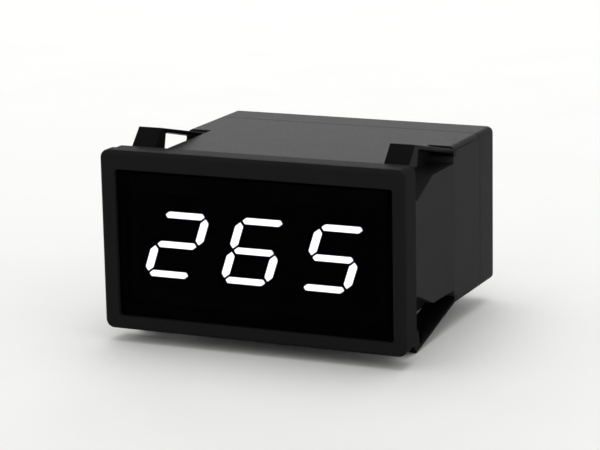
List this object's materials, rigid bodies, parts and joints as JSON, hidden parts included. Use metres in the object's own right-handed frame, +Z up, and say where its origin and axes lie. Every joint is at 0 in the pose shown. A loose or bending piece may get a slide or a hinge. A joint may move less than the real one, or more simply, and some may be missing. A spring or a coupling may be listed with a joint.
{
  "type": "digital panel meter",
  "caption": "Digital panel meter: smoked window with lit slanted digits in a raised rectangular frame, long box case behind, splayed snap-in corner clips, screw terminals at the rear.",
  "frame": {"origin": "middle of the flange's rear face, the face that rests on the front of the panel", "axes": "+X to the right as the display is read, +Y through the panel towards the terminals, the display faces -Y, +Z up"},
  "size_m": [0.096, 0.092, 0.062],
  "materials": {
    "black_case_plastic": "moulded, fine spark-eroded grain",
    "smoked_window_acrylic": "polished",
    "lit_segment_resin": "diffused, lit",
    "unlit_segment_resin": "diffused, unlit",
    "display_module_plastic": "moulded",
    "circuit_board": "solder resist over glass fibre",
    "tinned_lead": "tinned",
    "black_package_plastic": "moulded",
    "zinc_plated_steel": "zinc plated",
    "brass_contact": "rolled, bright",
    "terminal_plastic": "moulded, satin",
    "core_steel": "laminated, varnished",
    "bobbin_plastic": "moulded",
    "winding_tape": "polyester tape",
    "capacitor_sleeve": "shrunk sleeve",
    "film_capacitor_case": "cast",
    "resistor_lacquer": "lacquered",
    "fuse_glass": "clear",
    "nickel_cap": "nickel plated",
    "blue_trimmer_plastic": "moulded"
  },
  "bodies": {
    "case": {"board_header": "black_package_plastic", "case_shell": "black_case_plastic", "clamp_plates": "zinc_plated_steel", "converter_chip": "black_package_plastic", "cover_screws": "zinc_plated_steel", "dark_segments": "unlit_segment_resin", "decoder_chip": "black_package_plastic", "digit_module_hundreds": "display_module_plastic", "digit_module_tens": "display_module_plastic", "digit_module_units": "display_module_plastic", "display_board": "circuit_board", "driver_transistors": "black_package_plastic", "film_capacitors": "film_capacitor_case", "front_frame": "black_case_plastic", "fuse_caps": "nickel_cap", "fuse_holders": "black_package_plastic", "fuse_tube": "fuse_glass", "header_pins": "tinned_lead", "lit_segments_hundreds": "lit_segment_resin", "lit_segments_tens": "lit_segment_resin", "lit_segments_units": "lit_segment_resin", "main_board": "circuit_board", "rear_cover": "black_case_plastic", "rectifier": "black_package_plastic", "regulator": "black_package_plastic", "reservoir_capacitor": "capacitor_sleeve", "resistors": "resistor_lacquer", "small_capacitors": "capacitor_sleeve", "span_trimmer_body": "blue_trimmer_plastic", "terminal_block": "terminal_plastic", "terminal_plates": "brass_contact", "terminal_screws": "zinc_plated_steel", "transformer_bobbin": "bobbin_plastic", "transformer_core": "core_steel", "transformer_leads": "tinned_lead", "transformer_winding": "winding_tape", "window_plate": "smoked_window_acrylic", "zero_trimmer_body": "blue_trimmer_plastic"},
    "clip_top_right": {"spring_clip_top_right": "black_case_plastic"},
    "clip_top_left": {"spring_clip_top_left": "black_case_plastic"},
    "clip_bottom_right": {"spring_clip_bottom_right": "black_case_plastic"},
    "clip_bottom_left": {"spring_clip_bottom_left": "black_case_plastic"},
    "zero_adjuster": {"zero_trimmer_rotor": "brass_contact"},
    "span_adjuster": {"span_trimmer_rotor": "brass_contact"}
  },
  "joints": [
    {"name": "clip_flex_top_right", "type": "hinge", "parent": "case", "child": "clip_top_right", "pos_m": [0.0403, 0.0401, 0.0222], "axis": [1, 0, 0], "range_deg": [0, 13], "stiffness_Nm_per_rad": 0.6},
    {"name": "clip_flex_top_left", "type": "hinge", "parent": "case", "child": "clip_top_left", "pos_m": [-0.0403, 0.0401, 0.0222], "axis": [1, 0, 0], "range_deg": [0, 13], "stiffness_Nm_per_rad": 0.6},
    {"name": "clip_flex_bottom_right", "type": "hinge", "parent": "case", "child": "clip_bottom_right", "pos_m": [0.0403, 0.0401, -0.0222], "axis": [-1, 0, 0], "range_deg": [0, 13], "stiffness_Nm_per_rad": 0.6},
    {"name": "clip_flex_bottom_left", "type": "hinge", "parent": "case", "child": "clip_bottom_left", "pos_m": [-0.0403, 0.0401, -0.0222], "axis": [-1, 0, 0], "range_deg": [0, 13], "stiffness_Nm_per_rad": 0.6},
    {"name": "zero_adjust", "type": "hinge", "parent": "case", "child": "zero_adjuster", "pos_m": [0.0269, 0.0596, -0.0065], "axis": [0, 1, 0], "range_deg": [-130, 130]},
    {"name": "span_adjust", "type": "hinge", "parent": "case", "child": "span_adjuster", "pos_m": [0.0359, 0.0596, -0.0065], "axis": [0, 1, 0], "range_deg": [-130, 130]}
  ]
}
